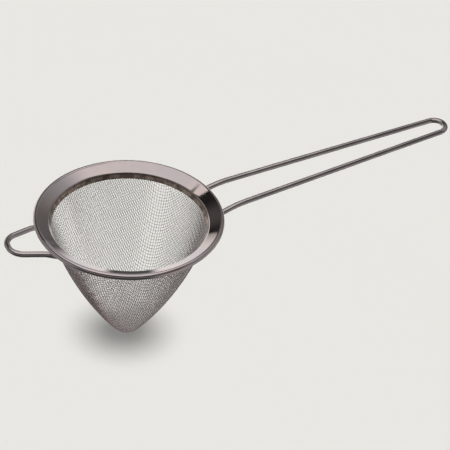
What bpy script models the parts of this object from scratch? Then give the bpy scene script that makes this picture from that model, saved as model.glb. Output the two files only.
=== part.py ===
"""Conical fine-mesh tea strainer, in metres, +Z up, handle along +X.

The origin is on the basket's axis, in the plane where the handle wire and the rest loop
lie on the rim of a cup.  Five pieces: the rim flange with its rolled edge, the woven
basket (here a thin shell of the same outer shape), the ring that clamps the basket's
edge, the handle wire and the rest loop wire.
"""
import math

import bpy
from mathutils import Vector

# ---------------------------------------------------------------- driving dimensions
RIM_RADIUS = 0.0450          # outside of the rolled edge
RIM_TOP = 0.0052             # top of the rolled edge
BEAD_RADIUS = 0.0013         # outside radius of the rolled edge's section
BEAD_TURN = 262              # degrees that the sheet is rolled beyond the flange
SHEET = 0.0004               # thickness of the rim's sheet
CREASE_RADIUS = 0.0380       # where the flange turns down into the collar
CREASE_HEIGHT = 0.0020
CREASE_ROUND = 0.0008        # bend radius at the crease, middle of the sheet
COLLAR_FOOT = -0.0008        # lower edge of the collar
COLLAR_LEAN = 24             # degrees that the collar leans inwards from vertical

CLOTH = 0.0005               # thickness of the woven cloth
BASKET_DEPTH = 0.0675        # from the origin down to the outside of the tip
BASKET_TIP_RADIUS = 0.0093   # outside
BASKET_WALL_RADIUS = 0.2000  # the wall bows outwards on an arc of this radius
BASKET_EDGE = 0.0005         # the cloth's upper edge, between collar and clamp ring

CLAMP_SHEET = 0.0005
CLAMP_TOP = 0.0010
CLAMP_FOOT = -0.0011

GAP = 0.0003                 # clearance between pieces that touch or are welded

WIRE_RADIUS = 0.0014
WIRE_SIDE_STEPS = 2          # bevel resolution: 8 sides at 2

HANDLE_ROOT = (0.0395, -0.0002)   # x and z of the welded ends, under the flange
HANDLE_KNEE = (0.0520, 0.0039)
HANDLE_END = (0.1748, 0.0170)     # middle of the wire at the end of the U
HANDLE_KNEE_ROUND = 0.040
HANDLE_ROOT_WIDTH = 0.0203        # between the middles of the legs at the welded ends
HANDLE_END_WIDTH = 0.0110

LOOP_ROOT = (0.0395, 0.0000)      # the rest loop, measured along -X
LOOP_KNEE = (0.0450, 0.0016)
LOOP_END = (0.0594, 0.0024)
LOOP_KNEE_ROUND = 0.010
LOOP_ROOT_WIDTH = 0.0236
LOOP_END_WIDTH = 0.0119           # where the legs would meet a square end
LOOP_END_ROUND = 0.0071           # radius of the loop's end, middle of the wire

TURN_STEPS = 64              # flats round every turned piece
CURL_STEP = 24               # degrees between points on the rolled edge


# ---------------------------------------------------------------- plane curves
def polar(centre, radius, degrees):
    """Point on a circle in a plane."""
    angle = math.radians(degrees)
    return (centre[0] + radius * math.cos(angle), centre[1] + radius * math.sin(angle))


def arc(centre, radius, start, end, step):
    """Points along an arc from one angle to another, in degrees, both ends included."""
    count = max(1, math.ceil(abs(end - start) / step - 1e-9))
    return [polar(centre, radius, start + (end - start) * i / count) for i in range(count + 1)]


def rounded(points, radii, step):
    """An open run of straight lines whose inner corners are rounded."""
    run = [Vector(points[0])]
    for before, corner, after, radius in zip(points, points[1:], points[2:], radii):
        corner = Vector(corner)
        back = (Vector(before) - corner).normalized()
        ahead = (Vector(after) - corner).normalized()
        half = back.angle(ahead) / 2
        centre = corner + (back + ahead).normalized() * (radius / math.sin(half))
        first = corner + back * (radius / math.tan(half)) - centre
        last = corner + ahead * (radius / math.tan(half)) - centre
        start = math.degrees(math.atan2(first.y, first.x))
        sweep = math.degrees(math.atan2(first.cross(last), first.dot(last)))
        run += [Vector(p) for p in arc(centre, radius, start, start + sweep, step)]
    run.append(Vector(points[-1]))
    return run


def offset(run, distance):
    """The run moved sideways, to its left for a positive distance."""
    moved = []
    for i, point in enumerate(run):
        ahead = run[min(i + 1, len(run) - 1)] - run[max(i - 1, 0)]
        left = Vector((-ahead.y, ahead.x)).normalized()
        moved.append(point + left * distance)
    return moved


def sheet_outline(run, thickness):
    """Closed outline of a sheet whose middle follows the run, its right side first."""
    run = [Vector(p) for p in run]
    return offset(run, -thickness / 2) + offset(run, thickness / 2)[::-1]


# ---------------------------------------------------------------- solids
def finish_material(name, colour, roughness):
    material = bpy.data.materials.new(name)
    material.use_nodes = True
    shader = material.node_tree.nodes["Principled BSDF"]
    shader.inputs["Base Color"].default_value = (*colour, 1.0)
    shader.inputs["Metallic"].default_value = 1.0
    shader.inputs["Roughness"].default_value = roughness
    return material


def place(name, data, collection, material):
    piece = bpy.data.objects.new(name, data)
    collection.objects.link(piece)
    data.materials.append(material)
    return piece


def turned(name, outline, collection, material):
    """Solid of revolution about Z from a closed (radius, height) outline."""
    area = sum(a[0] * b[1] - b[0] * a[1] for a, b in zip(outline, outline[1:] + outline[:1]))
    if area > 0:
        outline = outline[::-1]
    on_axis = [i for i, point in enumerate(outline) if point[0] < 1e-7]
    mesh = bpy.data.meshes.new(name)
    points = [(max(r, 0.0), 0.0, z) for r, z in outline]
    edges = [(i, (i + 1) % len(points)) for i in range(len(points))]
    edges = [edge for edge in edges if not (edge[0] in on_axis and edge[1] in on_axis)]
    mesh.from_pydata(points, edges, [])
    piece = place(name, mesh, collection, material)
    screw = piece.modifiers.new("turn", "SCREW")
    screw.steps = TURN_STEPS
    screw.render_steps = TURN_STEPS
    screw.use_merge_vertices = True
    screw.merge_threshold = 0.00001
    screw.use_smooth_shade = True
    return piece


def wire(name, route, collection, material):
    """Round wire with flat ends along a route of points."""
    curve = bpy.data.curves.new(name, "CURVE")
    curve.dimensions = "3D"
    curve.bevel_depth = WIRE_RADIUS
    curve.bevel_resolution = WIRE_SIDE_STEPS
    curve.use_fill_caps = True
    spline = curve.splines.new("POLY")
    spline.points.add(len(route) - 1)
    for point, place_at in zip(spline.points, route):
        point.co = (*place_at, 1.0)
    spline.use_smooth = True
    return place(name, curve, collection, material)


# ---------------------------------------------------------------- the rim
def rim_section():
    """Middle line of the rim's sheet: collar, crease, flange, rolled edge."""
    bead = (RIM_RADIUS - BEAD_RADIUS, RIM_TOP - BEAD_RADIUS)
    to_bead = Vector(bead) - Vector((CREASE_RADIUS, CREASE_HEIGHT))
    slope = math.atan2(to_bead.y, to_bead.x) + math.asin(BEAD_RADIUS / to_bead.length)
    under = Vector((math.sin(slope), -math.cos(slope))) * (SHEET / 2)
    crease = Vector((CREASE_RADIUS, CREASE_HEIGHT)) + under
    drop = crease.y - COLLAR_FOOT
    foot = (crease.x - drop * math.tan(math.radians(COLLAR_LEAN)), COLLAR_FOOT)
    first = math.degrees(slope) + 90
    curl = arc(bead, BEAD_RADIUS - SHEET / 2, first, first - BEAD_TURN, CURL_STEP)
    return rounded([foot, crease, curl[0]], [CREASE_ROUND], 20) + [Vector(p) for p in curl[1:]]


def collar_side(height):
    """Radius of the collar's outer face at a height."""
    foot = rim_section()[0]
    lean = math.radians(COLLAR_LEAN)
    return foot.x + (height - foot.y) * math.tan(lean) + SHEET / 2 / math.cos(lean)


# ---------------------------------------------------------------- the basket
def basket_wall(inwards):
    """Basket profile from the tip up to the collar's foot, offset inwards from outside."""
    top = Vector((collar_side(COLLAR_FOOT) + GAP + CLOTH, COLLAR_FOOT))
    tip = Vector((0.0, BASKET_TIP_RADIUS - BASKET_DEPTH))
    # The wall's arc passes through the top and is tangent to the tip's sphere.
    span = tip - top
    inner = BASKET_WALL_RADIUS - BASKET_TIP_RADIUS
    along = (BASKET_WALL_RADIUS ** 2 - inner ** 2 + span.length_squared) / (2 * span.length)
    aside = math.sqrt(BASKET_WALL_RADIUS ** 2 - along ** 2)
    unit = span.normalized()
    centre = top + unit * along + Vector((unit.y, -unit.x)) * aside
    start = math.degrees(math.atan2((tip - centre).y, (tip - centre).x))
    end = math.degrees(math.atan2((top - centre).y, (top - centre).x))
    rounding = arc(tip, BASKET_TIP_RADIUS - inwards, -90, start, 18)
    wall = arc(centre, BASKET_WALL_RADIUS - inwards, start, end, 2.6)
    return rounding[:-1] + wall


def basket_outline():
    edge = collar_side(BASKET_EDGE) + GAP
    outside = basket_wall(0) + [(edge + CLOTH, BASKET_EDGE)]
    inside = basket_wall(CLOTH) + [(edge, BASKET_EDGE)]
    return outside + inside[::-1]


def clamp_outline():
    """Ring parallel to the collar, outside the cloth."""
    step = 2 * GAP + CLOTH + CLAMP_SHEET / 2
    run = [(collar_side(z) + step, z) for z in (CLAMP_FOOT, CLAMP_TOP)]
    return sheet_outline(run, CLAMP_SHEET)


# ---------------------------------------------------------------- the wires
def heights(root, knee, end, knee_round):
    """Side view of a wire from its welded root to its far end, as (x, z) points."""
    return rounded([root, knee, end], [knee_round], 2.5)


def height_at(x, side_view):
    for a, b in zip(side_view, side_view[1:]):
        if x <= b.x:
            return a.y + (b.y - a.y) * (x - a.x) / (b.x - a.x)
    return side_view[-1].y


def handle_route():
    """Along one leg, round the end and back, in plan and in side view."""
    side = heights(HANDLE_ROOT, HANDLE_KNEE, HANDLE_END, HANDLE_KNEE_ROUND)
    turn = HANDLE_END_WIDTH / 2
    turn_at = HANDLE_END[0] - turn
    legs = (HANDLE_ROOT_WIDTH - HANDLE_END_WIDTH) / 2 / (turn_at - HANDLE_ROOT[0])
    xs = [p.x for p in side[:-1]]
    runs = 10
    xs += [xs[-1] + (turn_at - xs[-1]) * i / runs for i in range(1, runs)]
    leg = [(x, turn + (turn_at - x) * legs) for x in xs]
    plan = leg + arc((turn_at, 0.0), turn, 90, -90, 15) + [(x, -y) for x, y in leg[::-1]]
    return [(x, y, height_at(x, side)) for x, y in plan]


def loop_route():
    """The rest loop: two legs that draw together to a round end, along -X."""
    side = heights(LOOP_ROOT, LOOP_KNEE, LOOP_END, LOOP_KNEE_ROUND)
    leg = [(LOOP_ROOT[0], LOOP_ROOT_WIDTH / 2), (LOOP_END[0], LOOP_END_WIDTH / 2)]
    square = leg + [(x, -y) for x, y in leg[::-1]]
    corners = rounded(square, [LOOP_END_ROUND] * 2, 11)
    half = [p for p in corners if p.y > 1e-6]
    spread = (half[1].y - half[0].y) / (half[1].x - half[0].x)
    bends = [p.x for p in side[1:-1]]
    straight = [Vector((x, half[0].y + spread * (x - half[0].x))) for x in bends]
    half = half[:1] + straight + half[1:]
    plan = [(p.x, p.y) for p in half] + [(p.x, -p.y) for p in half[::-1]]
    return [(-x, y, height_at(x, side)) for x, y in plan]


# ---------------------------------------------------------------- assembly
def build():
    for piece in list(bpy.data.objects):
        bpy.data.objects.remove(piece, do_unlink=True)
    parts = bpy.data.collections.new("tea_strainer")
    bpy.context.scene.collection.children.link(parts)

    polished = (0.33, 0.29, 0.29)
    turned("rim_flange", sheet_outline(rim_section(), SHEET), parts,
           finish_material("rim_polished", polished, 0.10))
    turned("mesh_basket", basket_outline(), parts,
           finish_material("basket_wire", (0.40, 0.36, 0.35), 0.30))
    turned("mesh_clamp_ring", clamp_outline(), parts,
           finish_material("clamp_satin", (0.30, 0.27, 0.27), 0.25))
    wire("handle_wire", handle_route(), parts,
         finish_material("handle_polished", polished, 0.12))
    wire("rest_loop_wire", loop_route(), parts,
         finish_material("loop_polished", polished, 0.12))


build()
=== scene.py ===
"""Looks of a conical fine-mesh tea strainer, built round the fixed frame, in metres.

The rim, its rolled edge, the clamp ring and both wires are made again at full smoothness,
and the basket is woven wire by wire.  Handle along +X, basket's axis on Z.
"""
import math

import bpy
import numpy as np
from mathutils import Matrix, Vector


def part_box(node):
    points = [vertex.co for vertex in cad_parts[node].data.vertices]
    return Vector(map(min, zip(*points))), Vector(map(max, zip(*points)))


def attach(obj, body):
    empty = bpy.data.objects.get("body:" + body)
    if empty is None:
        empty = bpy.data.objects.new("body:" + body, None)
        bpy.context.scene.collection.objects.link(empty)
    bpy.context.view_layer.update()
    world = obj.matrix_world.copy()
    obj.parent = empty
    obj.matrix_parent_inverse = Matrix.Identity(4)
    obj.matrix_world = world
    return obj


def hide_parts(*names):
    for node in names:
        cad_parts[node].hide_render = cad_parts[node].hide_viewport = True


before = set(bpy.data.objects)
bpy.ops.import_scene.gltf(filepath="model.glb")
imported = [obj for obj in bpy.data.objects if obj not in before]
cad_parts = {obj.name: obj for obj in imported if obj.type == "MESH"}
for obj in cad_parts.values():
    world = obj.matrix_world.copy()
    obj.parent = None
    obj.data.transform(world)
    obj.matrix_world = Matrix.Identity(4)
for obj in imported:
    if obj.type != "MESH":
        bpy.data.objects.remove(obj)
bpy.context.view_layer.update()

MM = 0.001

# ---------------------------------------------------------------- sizes from the frame
rim_low, rim_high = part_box("rim_flange")
basket_low, basket_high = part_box("mesh_basket")
clamp_low, clamp_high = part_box("mesh_clamp_ring")
RIM_RADIUS = rim_high.x
RIM_TOP = rim_high.z
COLLAR_FOOT = rim_low.z
TIP_DEPTH = -basket_low.z

# ---------------------------------------------------------------- the maker's own sizes
BEAD_RADIUS = 1.3 * MM         # half the rolled edge's width
BEAD_RISE = 1.45 * MM          # half its height: it is rolled a little oval
BEAD_TURN = 262                # degrees that the edge is rolled through
SHEET = 0.4 * MM
CREASE_RADIUS = 38.0 * MM
CREASE_HEIGHT = 2.0 * MM
CREASE_ROUND = 0.8 * MM
PAINTED_SHADE_LINE = 42.9 * MM       # radius of a painted shade line beside the rolled edge
PAINTED_SHADE_LINE_AZIMUTH = 104     # degrees; the middle of the painted shade line
FRONT_DIP = 0.6 * MM           # the flange was pressed down a little on one side
FRONT_DIP_AZIMUTH = -118.757   # degrees; the dip's deepest point
RIPPLE = 0.018 * MM            # height of the waves the spinning lathe leaves
COLLAR_LEAN = 24               # degrees inwards, towards its foot

CLOTH = 0.5 * MM
CLOTH_CLEARANCE = 0.3 * MM
CLOTH_EDGE = 1.1 * MM          # how far the woven cloth runs up under the clamp
TIP_RADIUS = 9.3 * MM
WALL_RADIUS = 200.0 * MM
CLAMP_SHEET = 0.5 * MM

BAR_RADIUS = 1.4 * MM
HANDLE_ROOT = (39.5 * MM, -0.2 * MM)
HANDLE_KNEE = (52.0 * MM, 3.9 * MM)
HANDLE_END = (174.8 * MM, 17.0 * MM)
HANDLE_KNEE_ROUND = 40 * MM
HANDLE_ROOT_WIDTH = 20.3 * MM
HANDLE_END_WIDTH = 11.0 * MM
LOOP_ROOT = (39.5 * MM, 0.0 * MM)
LOOP_KNEE = (45.0 * MM, 1.6 * MM)
LOOP_END = (59.4 * MM, 2.4 * MM)
LOOP_KNEE_ROUND = 10 * MM
LOOP_ROOT_WIDTH = 23.6 * MM
LOOP_END_WIDTH = 11.9 * MM
LOOP_END_ROUND = 7.1 * MM

WELD_LENGTH = 4.2 * MM
WELD_WIDTH = 2.6 * MM
WELD_HEIGHT = 1.1 * MM
WELD_INSET = 2.2 * MM        # its middle's distance from the bar's end
WELD_LIFT = 1.25 * MM        # its middle's height over the bar's middle line

WARP_PITCH = 1.60 * MM       # from one warp wire to the next
WEFT_PITCH = 1.33 * MM
MESH_WIRE = 0.24 * MM        # diameter
MESH_TURN = 42               # the warp's direction through the tip, degrees from the handle
MESH_SIDES = 6
BAR_SIDES = 28
RIM_STEPS = 288
CLAMP_STEPS = 240
SAMPLES_PER_PITCH = 4

# ---------------------------------------------------------------- the studio
VIEW_AZIMUTH = -28.757         # degrees; where the studio's right-hand side lies
VIEW_ELEVATION = 37.823        # degrees; how steeply the view looks down
VIEW_ROLL = 5.005
VIEW_DISTANCE = 0.600
VIEW_AIM = Vector((39.34, -22.48, 4.19)) * MM
LENS = 101.86
SUN_WIDTH = 60                 # degrees: a broad overhead light, so shade on the floor is soft
SUN_STRENGTH = 3.19
FLOOR_GAP = 0.25 * MM          # below the basket's tip
FLOOR_REACH = 4.0
BACKDROP_RADIUS = 3.5
BACKDROP_HEIGHT = 3.5
BACKDROP_WALLS = 24
FLOOR_COLOUR = (0.812, 0.800, 0.766, 1.0)
FLOOR_PAINT = (0.800, 0.788, 0.755, 1.0)
WALL_COLOUR = (1.0, 0.99, 0.97, 1.0)
BOX_COLOUR = (1.0, 0.975, 0.955, 1.0)
GAUZE_TINT = (0.15, 0.15, 0.15, 1.0)   # small gauze that shades the floor at the tip
GAUZE_HEIGHT = 23 * MM
GAUZE_WIDE = 20.0 * MM
GAUZE_DEEP = 17.5 * MM
GAUZE_LEFT = 1.5 * MM
GAUZE_BACK = -1.5 * MM
BOX_HEIGHT = 500 * MM          # large diffuser over the strainer
BOX_LEFT = -435 * MM
BOX_NEAR = -420 * MM
BOX_FAR = 315 * MM
BOX_RIGHT = 340 * MM
BOX_FADE_START = 190 * MM
BOX_ARM = (-386 * MM, 190 * MM)        # where its stand's dark arm crosses it
BOX_ARM_RADIUS = (16 * MM, 28 * MM)
ARM_LIGHT = 0.08

# Brightness of what stands round the strainer, seen only in its metal.
BLACK_CLOTH = 0.02
CLOTH_SHEEN = 0.07
WALL_FOOT = 0.17
WALL_RISE = 0.45
BACK_WALL = 0.18
SIDE_WALL = 0.30
NEAR_RIGHT = 0.11
CHEST = 0.36
TABLE = 0.37
TABLE_RIGHT = 0.08
COLUMN = 0.80
PALE_CLOTH = 1.06


def studio_axes():
    """The studio's right, away and up."""
    turn = math.radians(VIEW_AZIMUTH)
    right = Vector((math.cos(turn), math.sin(turn), 0.0))
    away = Vector((-math.sin(turn), math.cos(turn), 0.0))
    return right, away, Vector((0.0, 0.0, 1.0))


def place_camera():
    right, away, up = studio_axes()
    rise = math.radians(VIEW_ELEVATION)
    forward = away * math.cos(rise) - up * math.sin(rise)
    head = right.cross(forward)
    roll = math.radians(VIEW_ROLL)
    rolled_right = right * math.cos(roll) + head * math.sin(roll)
    rolled_head = head * math.cos(roll) - right * math.sin(roll)
    data = bpy.data.cameras.new("studio_camera")
    data.lens = LENS
    data.clip_start = 0.01
    data.clip_end = 50
    camera = bpy.data.objects.new("studio_camera", data)
    turn = Matrix((rolled_right, rolled_head, -forward)).transposed().to_4x4()
    camera.matrix_world = Matrix.Translation(VIEW_AIM - forward * VIEW_DISTANCE) @ turn
    bpy.context.scene.collection.objects.link(camera)
    bpy.context.scene.camera = camera


# ---------------------------------------------------------------- shader expressions
class Value:
    """A number that varies over a surface; arithmetic on it adds Math nodes."""

    def __init__(self, shading, socket):
        self.shading = shading
        self.socket = socket

    def maths(self, operation, *others):
        return self.shading.node("ShaderNodeMath", {"operation": operation}, self, *others)

    def __add__(self, other):
        return self.maths("ADD", other)

    def __sub__(self, other):
        return self.maths("SUBTRACT", other)

    def __rsub__(self, other):
        return self.shading.node("ShaderNodeMath", {"operation": "SUBTRACT"}, other, self)

    def __mul__(self, other):
        return self.maths("MULTIPLY", other)

    __radd__ = __add__
    __rmul__ = __mul__

    def ramp(self, low, high):
        """0 below low, 1 above high, smooth between them."""
        settings = {"interpolation_type": "SMOOTHSTEP"}
        return self.shading.node("ShaderNodeMapRange", settings, self, low, high)

    def window(self, opening, closing):
        """1 between a rising and a falling ramp, 0 outside them."""
        return self.ramp(*opening) * (1 - self.ramp(*closing))


class Shading:
    """One material's or world's node tree."""

    def __init__(self, owner):
        owner.use_nodes = True
        self.tree = owner.node_tree
        self.tree.nodes.clear()

    def node(self, kind, settings, *values, output=0, **named):
        """Adds a node: its settings first, then its sockets by order or by name."""
        node = self.tree.nodes.new(kind)
        for name, value in settings.items():
            setattr(node, name, value)
        sockets = [(node.inputs[i], value) for i, value in enumerate(values)]
        sockets += [(node.inputs[name.replace("_", " ")], value) for name, value in named.items()]
        for socket, value in sockets:
            if isinstance(value, Value):
                self.tree.links.new(value.socket, socket)
            elif value is not None:
                socket.default_value = value
        return Value(self, node.outputs[output]) if len(node.outputs) else None

    def mix(self, factor, first, second):
        """Colour between two colours or links."""
        colours = [c if isinstance(c, Value) else (*c, 1.0) for c in (first, second)]
        node = self.tree.nodes.new("ShaderNodeMix")
        node.data_type = "RGBA"
        for socket, value in zip((node.inputs[0], node.inputs[6], node.inputs[7]), (factor, *colours)):
            if isinstance(value, Value):
                self.tree.links.new(value.socket, socket)
            else:
                socket.default_value = value
        return Value(self, node.outputs[2])

    def vector(self, operation, first, second=None, output=0):
        return self.node("ShaderNodeVectorMath", {"operation": operation}, first, second, output=output)

    def place(self):
        """Position in the object's own frame, which is the strainer's frame."""
        return self.node("ShaderNodeTexCoord", {}, output=3)

    def parts(self, vector):
        """x, y and z of a vector."""
        split = self.node("ShaderNodeSeparateXYZ", {}, vector)
        return [Value(self, socket) for socket in split.socket.node.outputs]

    def noise(self, vector, scale, detail=3.0, roughness=0.55):
        settings = {"noise_dimensions": "3D"}
        return self.node("ShaderNodeTexNoise", settings, vector, Scale=scale, Detail=detail,
                         Roughness=roughness)

    def bump(self, height, strength, distance):
        return self.node("ShaderNodeBump", {}, Height=height, Strength=strength, Distance=distance)

    def metal(self, colour, roughness, normal):
        """Bare metal surface, ended at the material's output."""
        shader = self.node("ShaderNodeBsdfPrincipled", {}, Base_Color=colour, Metallic=1.0,
                           Roughness=roughness, Normal=normal)
        self.node("ShaderNodeOutputMaterial", {}, shader)


def new_shading(name):
    material = bpy.data.materials.new(name)
    return material, Shading(material)


# ---------------------------------------------------------------- finishes
GUNMETAL_COOL = (0.500, 0.455, 0.470)
GUNMETAL_WARM = (0.590, 0.505, 0.490)
HEAT_TINT = (0.330, 0.235, 0.170)
COLLAR_STAIN = (0.22, 0.165, 0.14)
COLLAR_BRIGHT = (0.50, 0.40, 0.35)
# Painted shade for the collar's top, just under the crease.
CREASE_SHADE_PAINT = (0.06, 0.045, 0.04)
# Colour of the painted shade line beside the rolled edge.
SHADE_LINE_DARK = (0.16, 0.13, 0.13)
BAR_RUBBED = (0.63, 0.58, 0.57)
WELD_DARK = (0.24, 0.21, 0.22)
WELD_BRIGHT = (0.42, 0.36, 0.33)
# Pairs of colours that a finish wanders between.
HANDLE_TINTS = ((0.40, 0.36, 0.365), (0.50, 0.45, 0.45))
LOOP_TINTS = ((0.42, 0.38, 0.385), (0.52, 0.47, 0.47))
# Painted light for the wires' sides facing into the cone, painted shade for their outsides.
WARP_PAINTED_LIT = ((0.86, 0.83, 0.79), (0.96, 0.94, 0.90))
WARP_PAINTED_SHADE = ((0.34, 0.225, 0.235), (0.46, 0.335, 0.335))
WEFT_PAINTED_LIT = ((0.80, 0.77, 0.73), (0.94, 0.91, 0.87))
WEFT_PAINTED_SHADE = ((0.31, 0.205, 0.215), (0.43, 0.31, 0.31))
SPOT_WELDS = 12


def hoop_lines(shading, place, across, around):
    """Fine polishing lines that run round the axis."""
    x, y, z = shading.parts(place)
    flat = shading.node("ShaderNodeCombineXYZ", {}, x, y, 0.0)
    radius = shading.vector("LENGTH", flat, output=1)
    direction = shading.vector("NORMALIZE", flat)
    u, v, _ = shading.parts(direction)
    sample = shading.node("ShaderNodeCombineXYZ", {}, u * around + radius * across, v * around,
                          z * across)
    return shading.noise(sample, 1.0, 4.0, 0.6), radius, z


def painted_shade_line(shading, place, radius):
    """Mask of a painted shade line, part of the way round beside the edge."""
    x, y, _ = shading.parts(place)
    middle = math.radians(PAINTED_SHADE_LINE_AZIMUTH)
    beside = x * math.cos(middle) + y * math.sin(middle)
    rise = (PAINTED_SHADE_LINE - 0.45 * MM, PAINTED_SHADE_LINE - 0.05 * MM)
    fall = (PAINTED_SHADE_LINE + 0.05 * MM, PAINTED_SHADE_LINE + 0.30 * MM)
    return radius.window(rise, fall) * beside.ramp(0.90 * PAINTED_SHADE_LINE, 0.96 * PAINTED_SHADE_LINE)


def polished_rim():
    """Mirror polish with a thin rose-grey coating; satin and heat-tinted inside the collar, with painted
    shade under the crease and a painted shade line beside the edge.
    """
    material, shading = new_shading("rim_polished")
    place = shading.place()
    lines, radius, height = hoop_lines(shading, place, 9000.0, 6.0)
    cloud = shading.noise(place, 42.0, 3.0, 0.5)
    smear = shading.noise(place, 160.0, 4.0, 0.6)
    in_collar = 1 - radius.ramp(CREASE_RADIUS - 0.15 * MM, CREASE_RADIUS + 0.25 * MM)
    low = 1 - height.ramp(CREASE_HEIGHT - 0.7 * MM, CREASE_HEIGHT)
    collar = in_collar * low
    blotch = shading.noise(place, 330.0, 4.0, 0.65).ramp(0.42, 0.62)
    coat = shading.mix(cloud.ramp(0.35, 0.65), GUNMETAL_COOL, GUNMETAL_WARM)
    colour = shading.mix(collar, coat, shading.mix(blotch, COLLAR_STAIN, COLLAR_BRIGHT))
    # Painted shade: the collar darkened just under the crease.
    painted_crease_shade = collar * height.ramp(0.7 * MM, 1.3 * MM)
    colour = shading.mix(painted_crease_shade * 0.6, colour, CREASE_SHADE_PAINT)
    # Painted shade: a dark line beside the rolled edge, on one side only.
    colour = shading.mix(painted_shade_line(shading, place, radius) * 0.55, colour, SHADE_LINE_DARK)
    roughness = 0.045 + smear.ramp(0.45, 0.8) * 0.035 + lines * 0.02 + collar * 0.20
    relief = lines * 0.5 + smear * 0.2 + collar * blotch * 1.2
    normal = shading.bump(relief, 0.10, 0.02 * MM)
    shading.metal(colour, roughness, normal)
    return material


def drawn_bar(name, tints):
    """Polished round wire: faint lines from drawing, small rubbed patches."""
    material, shading = new_shading(name)
    place = shading.place()
    x, y, z = shading.parts(place)
    along = shading.node("ShaderNodeCombineXYZ", {}, x * 60.0, y * 5200.0, z * 5200.0)
    lines = shading.noise(along, 1.0, 3.0, 0.6)
    cloud = shading.noise(place, 85.0, 3.0, 0.5)
    rubbed = shading.noise(place, 420.0, 5.0, 0.65).ramp(0.58, 0.72)
    colour = shading.mix(cloud.ramp(0.35, 0.65), *tints)
    colour = shading.mix(rubbed * 0.35, colour, BAR_RUBBED)
    roughness = 0.09 + lines * 0.05 + rubbed * 0.10
    normal = shading.bump(lines + rubbed * 0.3, 0.12, 0.02 * MM)
    shading.metal(colour, roughness, normal)
    return material


def cloth_wire(name, inner, outer):
    """Drawn fine wire, painted light where it faces into the cone and painted shade, rose-brown, on its
    outside.
    """
    material, shading = new_shading(name)
    place = shading.place()
    patch = shading.noise(place, 60.0, 4.0, 0.6).ramp(0.35, 0.68)
    grain = shading.noise(place, 3800.0, 2.0, 0.5)
    x, y, _ = shading.parts(place)
    outwards = shading.vector("NORMALIZE", shading.node("ShaderNodeCombineXYZ", {}, x, y, 0.0))
    facing = shading.node("ShaderNodeNewGeometry", {}, output=1)
    # Painted light and shade: the side facing the axis takes the lit colours, the outward side the shaded
    # ones.
    outside = shading.vector("DOT_PRODUCT", facing, outwards, output=1).ramp(-0.35, 0.25)
    colour = shading.mix(outside, shading.mix(patch, *inner), shading.mix(patch, *outer))
    roughness = 0.13 + grain * 0.10
    normal = shading.bump(grain, 0.25, 0.01 * MM)
    shading.metal(colour, roughness, normal)
    return material


def satin_clamp():
    """Satin sheet ring with a row of spot welds, each in a ring of heat tint."""
    material, shading = new_shading("clamp_satin")
    place = shading.place()
    lines, _, _ = hoop_lines(shading, place, 5200.0, 9.0)
    x, y, _ = shading.parts(place)
    angle = shading.node("ShaderNodeMath", {"operation": "ARCTAN2"}, y, x)
    beat = (angle * SPOT_WELDS).maths("COSINE")
    near_weld = beat.ramp(0.55, 1.0)
    colour = shading.mix(near_weld * 0.7, GUNMETAL_COOL, HEAT_TINT)
    roughness = 0.26 + lines * 0.10
    normal = shading.bump(lines - beat.ramp(0.93, 0.99) * 2.0, 0.35, 0.05 * MM)
    shading.metal(colour, roughness, normal)
    return material


def weld_metal():
    """Cooled weld: dull, rippled, blue-brown."""
    material, shading = new_shading("weld_bead")
    place = shading.place()
    ripple = shading.noise(place, 900.0, 3.0, 0.6)
    colour = shading.mix(ripple.ramp(0.4, 0.65), WELD_DARK, WELD_BRIGHT)
    normal = shading.bump(ripple, 0.5, 0.08 * MM)
    shading.metal(colour, 0.34 + ripple * 0.12, normal)
    return material


# ---------------------------------------------------------------- plane curves
def polar(centre, radius, degrees):
    angle = math.radians(degrees)
    return Vector((centre[0] + radius * math.cos(angle), centre[1] + radius * math.sin(angle)))


def arc(centre, radius, start, end, step):
    """Points along an arc between two angles in degrees, both ends included."""
    count = max(1, math.ceil(abs(end - start) / step - 1e-9))
    return [polar(centre, radius, start + (end - start) * i / count) for i in range(count + 1)]


def rounded(points, radii, step):
    """An open run of straight lines whose inner corners are rounded."""
    run = [Vector(points[0])]
    for before, corner, after, radius in zip(points, points[1:], points[2:], radii):
        corner = Vector(corner)
        back = (Vector(before) - corner).normalized()
        ahead = (Vector(after) - corner).normalized()
        half = back.angle(ahead) / 2
        centre = corner + (back + ahead).normalized() * (radius / math.sin(half))
        first = corner + back * (radius / math.tan(half)) - centre
        last = corner + ahead * (radius / math.tan(half)) - centre
        start = math.degrees(math.atan2(first.y, first.x))
        sweep = math.degrees(math.atan2(first.cross(last), first.dot(last)))
        run += arc(centre, radius, start, start + sweep, step)
    run.append(Vector(points[-1]))
    return run


def divided(run, longest):
    """The run with extra points, so that no step is longer than longest."""
    points = [run[0]]
    for a, b in zip(run, run[1:]):
        count = max(1, math.ceil((b - a).length / longest))
        points += [a.lerp(b, i / count) for i in range(1, count + 1)]
    return points


def offset(run, distance):
    """The run moved sideways, to its left for a positive distance."""
    moved = []
    for i, point in enumerate(run):
        ahead = run[min(i + 1, len(run) - 1)] - run[max(i - 1, 0)]
        left = Vector((-ahead.y, ahead.x)).normalized()
        moved.append(point + left * distance)
    return moved


def sheet_outline(run, thickness):
    """Closed outline of a sheet whose middle follows the run, its cut edges a little round."""
    half = thickness / 2
    first = (run[0] - run[1]).normalized()
    last = (run[-1] - run[-2]).normalized()
    right, left = offset(run, -half), offset(run, half)
    end_cap = edge_round(run[-1], last, half)
    start_cap = edge_round(run[0], first, half)
    return right[:-1] + end_cap + left[-2:0:-1] + start_cap


def edge_round(point, outward, half):
    """Half circle round a sheet's cut edge, from its right side to its left."""
    start = math.degrees(math.atan2(outward.y, outward.x)) - 90
    return arc(point - outward * half * 0.4, half, start, start + 180, 30)


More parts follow.
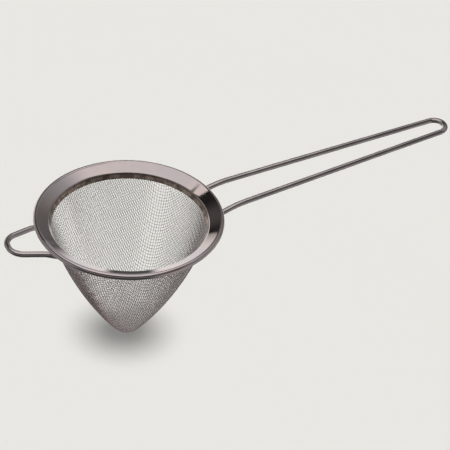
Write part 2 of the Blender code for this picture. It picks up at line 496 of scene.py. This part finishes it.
# ---------------------------------------------------------------- meshes
def add_piece(name, vertices, faces, material, slot, *nodes):
    """Smooth mesh piece riding on the strainer, standing for the CAD nodes named."""
    mesh = bpy.data.meshes.new(name)
    vertices = np.asarray(vertices, np.float32).reshape(-1, 3)
    faces = np.asarray(faces, np.int32)
    sides = faces.shape[1]
    mesh.vertices.add(len(vertices))
    mesh.vertices.foreach_set("co", vertices.ravel())
    mesh.loops.add(faces.size)
    mesh.loops.foreach_set("vertex_index", faces.ravel())
    mesh.polygons.add(len(faces))
    mesh.polygons.foreach_set("loop_start", np.arange(0, faces.size, sides, dtype=np.int32))
    mesh.update(calc_edges=True)
    mesh.validate()
    mesh.shade_smooth()
    mesh.materials.append(material)
    piece = bpy.data.objects.new(name, mesh)
    bpy.context.scene.collection.objects.link(piece)
    piece.visible_glossy = False
    piece.visible_shadow = False
    piece.visible_diffuse = False
    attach(piece, "root")
    if nodes:
        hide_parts(*nodes)
    return piece


def ring_faces(rings, around, first=0, closed=False):
    """Quads between rings of points, each ring closed on itself."""
    count = rings if closed else rings - 1
    i = np.arange(count)[:, None]
    j = np.arange(around)[None, :]
    here, ahead = i * around, ((i + 1) % rings) * around
    quads = np.stack([here + j, here + (j + 1) % around, ahead + (j + 1) % around, ahead + j], -1)
    return quads.reshape(-1, 4) + first


def turned(name, outline, steps, ripple, material, slot, *nodes):
    """Outline of (radius, height) turned about Z; ripple moves points by angle and radius."""
    outline = np.array([tuple(p) for p in outline])
    angle = np.linspace(0, 2 * math.pi, steps, endpoint=False)[:, None]
    radius = np.broadcast_to(outline[:, 0], (steps, len(outline)))
    height = outline[:, 1] + ripple(angle, outline[:, 0])
    points = np.stack([radius * np.cos(angle), radius * np.sin(angle), height], -1)
    faces = ring_faces(steps, len(outline), closed=True)
    return add_piece(name, points, faces, material, slot, *nodes)


def unit_rows(vectors):
    return vectors / np.linalg.norm(vectors, axis=1)[:, None]


def axes_along(line, up):
    """Tangent, side and head at each point of a line."""
    tangent = unit_rows(np.gradient(line, axis=0))
    side = unit_rows(np.cross(tangent, up))
    return tangent, side, np.cross(side, tangent)


def circles(side, head, sides):
    """Circle of directions round each point of a line."""
    angle = np.linspace(0, 2 * math.pi, sides, endpoint=False)[None, :, None]
    return side[:, None] * np.cos(angle) + head[:, None] * np.sin(angle)


def bar_rings(route, radius, sides):
    """Rings of points round a route, and the route's ends drawn in to a blunt point."""
    route = np.asarray(route, float)
    tangent, side, head = axes_along(route, (0.0, 0.0, 1.0))
    # Each cap ring's share of the radius and how far it is pushed along, from the end inwards.
    cap = [(0.25, 0.10), (0.62, 0.02), (0.90, 0.0), (1.0, 0.12)]
    middles = [route[0] + tangent[0] * radius * (push - 0.12) for share, push in cap]
    middles += list(route[1:-1])
    middles += [route[-1] - tangent[-1] * radius * (push - 0.12) for share, push in cap[::-1]]
    cap_shares = [share for share, push in cap]
    shares = np.array(cap_shares + [1.0] * (len(route) - 2) + cap_shares[::-1])
    sides_of, heads_of = (np.concatenate([[axis[0]] * len(cap), axis[1:-1], [axis[-1]] * len(cap)])
                          for axis in (side, head))
    around = circles(sides_of, heads_of, sides)
    return np.array(middles)[:, None] + around * radius * shares[:, None, None]


def closed_tube_faces(rings, sides):
    """Quads along a tube, and fans on two extra points that close its ends."""
    first = rings * sides
    start = first - sides
    j = np.arange(0, sides, 2)
    near = np.stack([(j + 2) % sides, (j + 1) % sides, j, j * 0 + first], -1)
    far = np.stack([start + j, start + (j + 1) % sides, start + (j + 2) % sides, j * 0 + first + 1], -1)
    return np.concatenate([ring_faces(rings, sides), near, far])


def round_bar(name, route, material, slot, node):
    rings = bar_rings(route, BAR_RADIUS, BAR_SIDES)
    points = np.concatenate([rings.reshape(-1, 3), rings[0].mean(0)[None], rings[-1].mean(0)[None]])
    faces = closed_tube_faces(len(rings), BAR_SIDES)
    return add_piece(name, points, faces, material, slot, node)


# ---------------------------------------------------------------- the rim
def rim_section():
    """Middle line of the rim's sheet: collar, crease, flange, rolled edge."""
    # Drawn with heights squeezed so that the oval edge is a circle, then stretched back.
    squeeze = BEAD_RADIUS / BEAD_RISE
    bead = Vector((RIM_RADIUS - BEAD_RADIUS, (RIM_TOP - BEAD_RISE) * squeeze))
    to_bead = bead - Vector((CREASE_RADIUS, CREASE_HEIGHT * squeeze))
    slope = math.atan2(to_bead.y, to_bead.x) + math.asin(BEAD_RADIUS / to_bead.length)
    first = math.degrees(slope) + 90
    curl = arc(bead, BEAD_RADIUS - SHEET / 2, first, first - BEAD_TURN, 6)
    curl = [Vector((p.x, p.y / squeeze)) for p in curl]
    slope = math.atan(math.tan(slope) / squeeze)
    under = Vector((math.sin(slope), -math.cos(slope))) * (SHEET / 2)
    crease = Vector((CREASE_RADIUS, CREASE_HEIGHT)) + under
    drop = crease.y - COLLAR_FOOT
    foot = (crease.x - drop * math.tan(math.radians(COLLAR_LEAN)), COLLAR_FOOT)
    return divided(rounded([foot, crease, curl[0]], [CREASE_ROUND], 6), 0.5 * MM) + curl[1:]


def collar_side(height):
    """Radius of the collar's outer face at a height."""
    foot = rim_section()[0]
    lean = math.radians(COLLAR_LEAN)
    return foot.x + (height - foot.y) * math.tan(lean) + SHEET / 2 / math.cos(lean)


def spinning_ripple(angle, radius):
    """Slight waviness of the flange, and the dip at one side of it."""
    share = np.clip((radius - CREASE_RADIUS) / (RIM_RADIUS - CREASE_RADIUS), 0, 1)
    wave = np.sin(3 * angle + 0.7) + 0.6 * np.sin(5 * angle + 2.1) + 0.35 * np.sin(11 * angle)
    front = np.clip(np.cos(angle - math.radians(FRONT_DIP_AZIMUTH)), 0, 1)
    return RIPPLE * wave * share - FRONT_DIP * share * front ** 2


def no_ripple(angle, radius):
    return 0 * angle * radius


def make_rim(material):
    outline = sheet_outline(rim_section(), SHEET)
    turned("rim", outline, RIM_STEPS, spinning_ripple, material, "rim_polished", "rim_flange")


def make_clamp(material):
    """Ring round the cloth, its foot crimped in against the wires."""
    step = 2 * CLOTH_CLEARANCE + CLOTH + CLAMP_SHEET / 2
    foot, top = clamp_low.z + 0.1 * MM, clamp_high.z - 0.05 * MM
    crimp = foot + 0.55 * MM
    run = [(collar_side(foot) + step - 0.42 * MM, foot), (collar_side(crimp) + step, crimp),
           (collar_side(top) + step, top)]
    outline = sheet_outline(divided(rounded(run, [0.5 * MM], 10), 0.4 * MM), CLAMP_SHEET)
    turned("clamp_ring", outline, CLAMP_STEPS, no_ripple, material, "clamp_satin", "mesh_clamp_ring")


# ---------------------------------------------------------------- the two bars
def heights(root, knee, end, knee_round):
    """Side view of a bar from its welded root to its far end, as (x, z) points."""
    return rounded([root, knee, end], [knee_round], 1.0)


def height_at(x, side_view):
    xs = [p.x for p in side_view]
    return float(np.interp(x, xs, [p.y for p in side_view]))


def handle_route():
    """Along one leg, round the end and back."""
    side = heights(HANDLE_ROOT, HANDLE_KNEE, HANDLE_END, HANDLE_KNEE_ROUND)
    turn = HANDLE_END_WIDTH / 2
    turn_at = HANDLE_END[0] - turn
    spread = (HANDLE_ROOT_WIDTH - HANDLE_END_WIDTH) / 2
    leg = [Vector((HANDLE_ROOT[0], turn + spread)), Vector((turn_at, turn))]
    leg = divided(leg, 1.4 * MM)
    plan = leg + arc((turn_at, 0.0), turn, 90, -90, 4)[1:-1] + [Vector((p.x, -p.y)) for p in leg[::-1]]
    return [(p.x, p.y, height_at(p.x, side)) for p in plan]


def loop_route():
    """Two legs that draw together to a round end, along -X."""
    side = heights(LOOP_ROOT, LOOP_KNEE, LOOP_END, LOOP_KNEE_ROUND)
    leg = [(LOOP_ROOT[0], LOOP_ROOT_WIDTH / 2), (LOOP_END[0], LOOP_END_WIDTH / 2)]
    square = leg + [(x, -y) for x, y in leg[::-1]]
    plan = divided(rounded(square, [LOOP_END_ROUND] * 2, 4), 0.8 * MM)
    return [(-p.x, p.y, height_at(p.x, side)) for p in plan]


def weld_bead(name, middle, direction, material, slot):
    """Low rippled lump of weld metal along a bar."""
    rings, sides = 15, 16
    along = Vector(direction).normalized()
    side = along.cross(Vector((0, 0, 1))).normalized()
    head = side.cross(along)
    points = []
    for i in range(rings):
        t = -1 + 2 * (i + 0.5) / rings
        swell = math.sqrt(1 - t * t) * (1 + 0.10 * math.sin(9.5 * t))
        for j in range(sides):
            angle = 2 * math.pi * j / sides
            lobe = 1 + 0.06 * math.sin(3 * angle + 4 * t)
            points.append(Vector(middle) + along * (t * WELD_LENGTH / 2)
                          + side * (math.cos(angle) * swell * lobe * WELD_WIDTH / 2)
                          + head * (math.sin(angle) * swell * lobe * WELD_HEIGHT / 2))
    points += [Vector(middle) - along * WELD_LENGTH / 2, Vector(middle) + along * WELD_LENGTH / 2]
    faces = closed_tube_faces(rings, sides)[:, ::-1]
    return add_piece(name, [tuple(p) for p in points], faces, material, slot)


# ---------------------------------------------------------------- the woven basket
class BasketWall:
    """Middle surface of the cloth: a round tip and a bowed wall, by distance from the tip."""

    def __init__(self):
        inset = CLOTH / 2
        top = Vector((collar_side(COLLAR_FOOT) + CLOTH_CLEARANCE + CLOTH, COLLAR_FOOT))
        self.tip = Vector((0.0, TIP_RADIUS - TIP_DEPTH))
        span = self.tip - top
        inner = WALL_RADIUS - TIP_RADIUS
        along = (WALL_RADIUS ** 2 - inner ** 2 + span.length_squared) / (2 * span.length)
        aside = math.sqrt(WALL_RADIUS ** 2 - along ** 2)
        unit = span.normalized()
        self.centre = top + unit * along + Vector((unit.y, -unit.x)) * aside
        to_tip, to_top = self.tip - self.centre, top - self.centre
        self.join = math.atan2(to_tip.y, to_tip.x)
        self.tip_radius = TIP_RADIUS - inset
        self.wall_radius = WALL_RADIUS - inset
        self.tip_length = self.tip_radius * (self.join + math.pi / 2)
        spread = math.atan2(to_top.y, to_top.x) - self.join
        self.length = self.tip_length + self.wall_radius * spread

    def lean(self, distance):
        """Angle of the outward normal above the horizontal."""
        on_tip = -math.pi / 2 + distance / self.tip_radius
        on_wall = self.join + (distance - self.tip_length) / self.wall_radius
        return np.where(distance < self.tip_length, on_tip, on_wall)

    def section(self, distance):
        """Radius and height at a distance along the wall from the tip."""
        lean = self.lean(distance)
        on_tip = distance < self.tip_length
        radius = np.where(on_tip, self.tip_radius * np.cos(lean),
                          self.centre.x + self.wall_radius * np.cos(lean))
        height = np.where(on_tip, self.tip.y + self.tip_radius * np.sin(lean),
                          self.centre.y + self.wall_radius * np.sin(lean))
        return radius, height

    def point(self, distance, angle):
        radius, height = self.section(distance)
        return np.stack([radius * np.cos(angle), radius * np.sin(angle), height], -1)

    def normal(self, distance, angle):
        lean = self.lean(distance)
        return np.stack([np.cos(lean) * np.cos(angle), np.cos(lean) * np.sin(angle),
                         np.sin(lean)], -1)


def draped_crossings(wall, reach):
    """Where warp and weft cross when square cloth is pressed over the cone.

    Each crossing lies one pitch from the two before it, so the meshes shear but no wire
    stretches.  One quarter is solved outwards from the tip; the other three mirror it.
    """
    size = int(1.6 * reach / WEFT_PITCH)
    distance = np.full((size, size), np.nan)
    angle = np.full((size, size), np.nan)
    down_warp = straight_crossings(wall, reach, WARP_PITCH)
    down_weft = straight_crossings(wall, reach, WEFT_PITCH)
    distance[:len(down_warp), 0] = down_warp
    distance[0, :len(down_weft)] = down_weft
    angle[:len(down_warp), 0] = 0.0
    angle[0, 1:len(down_weft)] = math.pi / 2
    for diagonal in range(2, 2 * size - 1):
        i = np.arange(max(1, diagonal - size + 1), min(size - 1, diagonal - 1) + 1)
        j = diagonal - i
        known = np.isfinite(distance[i - 1, j]) & np.isfinite(distance[i, j - 1])
        i, j = i[known], j[known]
        if len(i) == 0:
            continue
        s, a = next_crossings(wall, distance, angle, i, j)
        distance[i, j] = np.where(s < reach + WARP_PITCH, s, np.nan)
        angle[i, j] = np.where(s < reach + WARP_PITCH, a, np.nan)
    return distance, angle


def straight_crossings(wall, reach, pitch):
    """Distances from the tip of the crossings on the wire that runs straight through it."""
    crossings = [0.0]
    while crossings[-1] < reach + pitch:
        here = wall.point(np.array(crossings[-1]), 0.0)
        guess = crossings[-1] + pitch
        for _ in range(6):
            guess += pitch - np.linalg.norm(wall.point(np.array(guess), 0.0) - here)
        crossings.append(float(guess))
    return crossings


def next_crossings(wall, distance, angle, i, j):
    """Newton's method for the crossings one pitch from both of their neighbours."""
    left = wall.point(distance[i - 1, j], angle[i - 1, j])
    below = wall.point(distance[i, j - 1], angle[i, j - 1])
    guess = left + below - wall.point(distance[i - 1, j - 1], angle[i - 1, j - 1])
    a = np.arctan2(guess[:, 1], guess[:, 0])
    s = (distance[i - 1, j] + distance[i, j - 1]) / 2 + 0.7 * WEFT_PITCH
    small_s, small_a = 1e-7, 1e-5
    for _ in range(12):
        here = wall.point(s, a)
        by_s = (wall.point(s + small_s, a) - here) / small_s
        by_a = (wall.point(s, a + small_a) - here) / small_a
        rows = []
        for neighbour, pitch in ((left, WARP_PITCH), (below, WEFT_PITCH)):
            gap = here - neighbour
            miss = (gap ** 2).sum(-1) - pitch ** 2
            rows.append((2 * (gap * by_s).sum(-1), 2 * (gap * by_a).sum(-1), miss))
        (p, q, m), (u, v, n) = rows
        scale = p * v - q * u
        s = s - np.clip((m * v - n * q) / scale, -WARP_PITCH, WARP_PITCH)
        a = a - np.clip((p * n - u * m) / scale, -0.3, 0.3)
    return s, a


def whole_cloth(quarter, mirrored):
    """All four quarters of a table of crossings; mirrored turns the sign of angles."""
    size = len(quarter)
    index = np.abs(np.arange(-size + 1, size))
    full = quarter[np.ix_(index, index)].copy()
    if mirrored:
        sign_u = np.sign(np.arange(-size + 1, size))[:, None]
        sign_v = np.sign(np.arange(-size + 1, size))[None, :]
        full = np.where(sign_u < 0, math.pi - full, full)
        full = np.where(sign_v < 0, -full, full)
    return full


def wire_line(wall, distance, angle, over, reach):
    """Samples along one wire of the cloth, waving over and under those it crosses."""
    steps = len(distance) - 1
    t = np.arange(steps * SAMPLES_PER_PITCH + 1) / SAMPLES_PER_PITCH
    knots = np.arange(steps + 1)
    points = wall.point(distance, angle)
    normals = wall.normal(distance, angle)
    samples = np.stack([np.interp(t, knots, points[:, k]) for k in range(3)], -1)
    upright = unit_rows(np.stack([np.interp(t, knots, normals[:, k]) for k in range(3)], -1))
    along = np.interp(t, knots, distance)
    # The chord between two crossings lies inside the curved surface by this much.
    near = knots[np.minimum(t.astype(int), steps - 1)]
    turn = np.linalg.norm(normals[near + 1] - normals[near], axis=1)
    chord = np.linalg.norm(points[near + 1] - points[near], axis=1)
    part = t - near
    sag = chord * turn * part * (1 - part) / 2
    wave = over * np.cos(math.pi * t) * MESH_WIRE / 2
    samples += upright * (sag + wave)[:, None]
    return cut_to_length(samples, upright, along, reach)


def cut_to_length(samples, upright, along, reach):
    """The stretch of a wire below the cloth's cut edge, cut exactly there."""
    inside = np.flatnonzero(along <= reach)
    if len(inside) < 3:
        return None
    first, last = inside[0], inside[-1]
    line, up = list(samples[first:last + 1]), list(upright[first:last + 1])
    for end, outer, at in ((0, first - 1, first), (-1, last + 1, last)):
        if 0 <= outer < len(along):
            share = (reach - along[at]) / (along[outer] - along[at])
            point = samples[at] + (samples[outer] - samples[at]) * share
            line.insert(0 if end == 0 else len(line), point)
            up.insert(0 if end == 0 else len(up), upright[at])
    return np.array(line), np.array(up)


def wire_tube(line, up):
    """Rings of points round one wire of the cloth."""
    _, side, head = axes_along(line, up)
    return line[:, None] + circles(side, head, MESH_SIDES) * (MESH_WIRE / 2)


def make_cloth(materials):
    """Warp and weft of the basket, each in two halves."""
    wall = BasketWall()
    reach = wall.length + CLOTH_EDGE
    quarter = draped_crossings(wall, reach)
    distance = whole_cloth(quarter[0], False)
    angle = whole_cloth(quarter[1], True) + math.radians(MESH_TURN)
    middle = len(quarter[0]) - 1
    turns = {"warp": (distance, angle, 1), "weft": (distance.T, angle.T, -1)}
    for family, (s, a, over) in turns.items():
        for half, chosen in (("a", range(0, middle)), ("b", range(middle, 2 * middle + 1))):
            vertices, faces, count = [], [], 0
            for j in chosen:
                known = np.flatnonzero(np.isfinite(s[:, j]))
                if len(known) < 3:
                    continue
                sign = over * (1 if (known[0] + j) % 2 == 0 else -1)
                wire = wire_line(wall, s[known, j], a[known, j], sign, reach)
                if wire is None:
                    continue
                rings = wire_tube(*wire)
                vertices.append(rings.reshape(-1, 3))
                faces.append(ring_faces(len(rings), MESH_SIDES, count))
                count += rings.shape[0] * MESH_SIDES
            name = f"cloth_{family}_{half}"
            add_piece(name, np.concatenate(vertices), np.concatenate(faces), materials[family],
                      "basket_wire", "mesh_basket")


# ---------------------------------------------------------------- floor and light
def stage_sheet(name, corners, seen_by, surface_of):
    """Flat sheet that isn't part of the strainer; surface_of(shading) gives its surface."""
    mesh = bpy.data.meshes.new(name)
    mesh.from_pydata([tuple(c) for c in corners], [], [tuple(range(len(corners)))])
    sheet = bpy.data.objects.new(name, mesh)
    bpy.context.scene.collection.objects.link(sheet)
    for ray in ("camera", "diffuse", "glossy", "transmission", "volume_scatter", "shadow"):
        setattr(sheet, "visible_" + ray, ray in seen_by)
    material, shading = new_shading(name)
    shading.node("ShaderNodeOutputMaterial", {}, surface_of(shading))
    mesh.materials.append(material)
    return sheet


def plain_floor(shading):
    return shading.node("ShaderNodeBsdfDiffuse", {}, FLOOR_PAINT)


def plain_backdrop(shading):
    return shading.node("ShaderNodeEmission", {}, FLOOR_COLOUR, 1.0)


def shading_gauze(shading):
    return shading.node("ShaderNodeBsdfTransparent", {}, GAUZE_TINT)


def softbox_cloth(shading):
    """White diffuser that fades out towards its right-hand edge."""
    right, away, up = studio_axes()
    place = shading.place()
    across = shading.vector("DOT_PRODUCT", place, tuple(right), output=1)
    fade = across.ramp(BOX_FADE_START, BOX_RIGHT)
    arm = tuple(right * BOX_ARM[0] + away * BOX_ARM[1] + up * BOX_HEIGHT)
    shaded = shading.vector("DISTANCE", place, arm, output=1).ramp(*BOX_ARM_RADIUS)
    lit = shading.node("ShaderNodeEmission", {}, BOX_COLOUR, ARM_LIGHT + shaded * (1 - ARM_LIGHT))
    clear = shading.node("ShaderNodeBsdfTransparent", {})
    return shading.node("ShaderNodeMixShader", {}, fade, lit, clear)


def make_floor():
    right, away, up = studio_axes()
    level = up * (basket_low.z - FLOOR_GAP)
    square = ((-1, -1), (1, -1), (1, 1), (-1, 1))
    corners = [level + (right * x + away * y) * FLOOR_REACH for x, y in square]
    stage_sheet("floor", corners, ("camera", "diffuse", "shadow"), plain_floor)
    rise = up * BACKDROP_HEIGHT
    for i in range(BACKDROP_WALLS):
        turns = [2 * math.pi * k / BACKDROP_WALLS for k in (i, i + 1)]
        foot = [level + Vector((math.cos(t), math.sin(t), 0)) * BACKDROP_RADIUS for t in turns]
        wall = [foot[0], foot[1], foot[1] + rise, foot[0] + rise]
        stage_sheet(f"backdrop_{i:02d}", wall, ("camera",), plain_backdrop)


def make_softbox():
    """Large diffuser half a metre above the rim, seen only in the metal."""
    right, away, up = studio_axes()
    square = ((BOX_LEFT, BOX_NEAR), (BOX_RIGHT, BOX_NEAR), (BOX_RIGHT, BOX_FAR), (BOX_LEFT, BOX_FAR))
    corners = [up * BOX_HEIGHT + right * x + away * y for x, y in square]
    stage_sheet("softbox", corners, ("glossy",), softbox_cloth)


def make_gauze():
    """Small oval gauze above the floor: its soft shade is the strainer's contact shadow."""
    right, away, up = studio_axes()
    middle = up * (basket_low.z + GAUZE_HEIGHT) - right * GAUZE_LEFT + away * GAUZE_BACK
    steps = 48
    turns = [2 * math.pi * i / steps for i in range(steps)]
    corners = [middle + right * GAUZE_WIDE * math.cos(t) + away * GAUZE_DEEP * math.sin(t) for t in turns]
    stage_sheet("gauze", corners, ("shadow",), shading_gauze)


def dark_surround(sideways, depth, rise):
    """Black cloth, dim walls at the back and right, a paler patch at each side."""
    right_back = sideways.ramp(0.0, 0.25) * depth.ramp(-0.05, 0.15)
    wall = WALL_FOOT + rise.ramp(0.30, 0.95) * WALL_RISE
    black = BLACK_CLOTH + rise.window((0.20, 0.38), (0.42, 0.60)) * CLOTH_SHEEN
    upper = black + right_back * (wall - black)
    back = sideways.ramp(-0.48, -0.30) * depth.ramp(0.30, 0.50) * (1 - right_back)
    upper = upper + back * (BACK_WALL - upper)
    left_side = (1 - sideways.ramp(-0.82, -0.68)) * (1 - rise.ramp(0.45, 0.58))
    right_side = sideways.ramp(0.72, 0.85) * depth.ramp(-0.45, -0.25)
    upper = upper + left_side * SIDE_WALL + right_side * (SIDE_WALL - upper)
    return upper + sideways.ramp(0.40, 0.60) * (1 - depth.ramp(-0.40, -0.20)) * NEAR_RIGHT


def over_table(upper, sideways, depth, rise):
    """The surround with the table's top below it and a pale chest on the near side."""
    near = 1 - depth.ramp(-0.3, 0.0)
    middle = 1 - sideways.ramp(0.35, 0.60)
    chest = rise.window((-0.10, 0.02), (0.18, 0.32)) * middle * near
    far_right = sideways.ramp(0.50, 0.70)
    below = (1 - (rise - far_right * 0.18).ramp(-0.30, -0.12)) * (1 - near * middle * 0.85)
    table = upper + chest * (CHEST - upper) + below * (TABLE + far_right * TABLE_RIGHT - upper)
    shade = depth.ramp(0.50, 0.70) * sideways.ramp(0.25, 0.40) * (1 - rise.ramp(-0.25, -0.12))
    return table * (1 - shade * 0.75)


def pale_cloth(sideways, depth, rise):
    """Share of the pale cloth hung on the far side, narrower towards its foot."""
    slanted = (rise + (sideways - 0.14) * 0.42).ramp(-0.20, 0.02)
    pale = depth.ramp(0.50, 0.70) * (1 - slanted) * (1 - rise.ramp(0.17, 0.20))
    deep = 1 - rise.ramp(-0.345, -0.315)
    centred = sideways.window((-0.36, -0.28), (0.16, 0.30))
    return pale * (1 - deep * (1 - centred)) * rise.ramp(-0.56, -0.50)


def make_world():
    """What the metal mirrors round the softbox: black cloth, pale table and walls."""
    world = bpy.data.worlds.new("studio")
    bpy.context.scene.world = world
    world.cycles_visibility.diffuse = False
    shading = Shading(world)
    direction = shading.node("ShaderNodeTexCoord", {}, output=0)
    sideways, depth, rise = (shading.vector("DOT_PRODUCT", direction, tuple(axis), output=1)
                             for axis in studio_axes())
    lit = over_table(dark_surround(sideways, depth, rise), sideways, depth, rise)
    column = sideways.window((-0.30, -0.14), (0.10, 0.20)) * rise.window((0.0, 0.10), (0.42, 0.52))
    column = column * depth.ramp(0.30, 0.45)
    lit = lit + column * (COLUMN - lit)
    lit = lit + pale_cloth(sideways, depth, rise) * (PALE_CLOTH - lit)
    # A gap in the pale cloth, nearly black.
    gap = sideways.window((-0.150, -0.125), (-0.070, -0.050)) * rise.window((-0.42, -0.36), (-0.14, -0.09))
    strength = lit * (1 - gap * depth.ramp(0.50, 0.70) * 0.9)
    light = shading.node("ShaderNodeBackground", {}, WALL_COLOUR, strength)
    shading.node("ShaderNodeOutputWorld", {}, light)


def make_lights():
    """Broad overhead light that lights the floor and doesn't show in the metal."""
    data = bpy.data.lights.new("floor_light", "SUN")
    data.angle = math.radians(SUN_WIDTH)
    data.energy = SUN_STRENGTH
    light = bpy.data.objects.new("floor_light", data)
    light.location = (0.0, 0.0, 1.6)
    light.visible_glossy = False
    light.visible_camera = False
    bpy.context.scene.collection.objects.link(light)


# ---------------------------------------------------------------- putting it together
def make_strainer():
    make_rim(polished_rim())
    make_clamp(satin_clamp())
    handle_line = handle_route()
    loop_line = loop_route()
    handle = drawn_bar("handle_polished", HANDLE_TINTS)
    loop = drawn_bar("loop_polished", LOOP_TINTS)
    round_bar("handle_bar", handle_line, handle, "handle_polished", "handle_wire")
    round_bar("rest_loop_bar", loop_line, loop, "loop_polished", "rest_loop_wire")
    weld = weld_metal()
    roots = {"handle": (handle_line, "handle_polished"), "loop": (loop_line, "loop_polished")}
    for name, (line, slot) in roots.items():
        for side, (near, far) in {"left": (line[0], line[2]), "right": (line[-1], line[-3])}.items():
            near, far = Vector(near), Vector(far)
            direction = far - near
            middle = near + direction.normalized() * WELD_INSET + Vector((0, 0, WELD_LIFT))
            weld_bead(f"weld_{name}_{side}", middle, direction, weld, slot)
    warp = cloth_wire("cloth_warp", WARP_PAINTED_LIT, WARP_PAINTED_SHADE)
    weft = cloth_wire("cloth_weft", WEFT_PAINTED_LIT, WEFT_PAINTED_SHADE)
    make_cloth({"warp": warp, "weft": weft})


bpy.context.scene.view_settings.view_transform = "Standard"
place_camera()
make_world()
make_lights()
make_floor()
make_softbox()
make_gauze()
make_strainer()
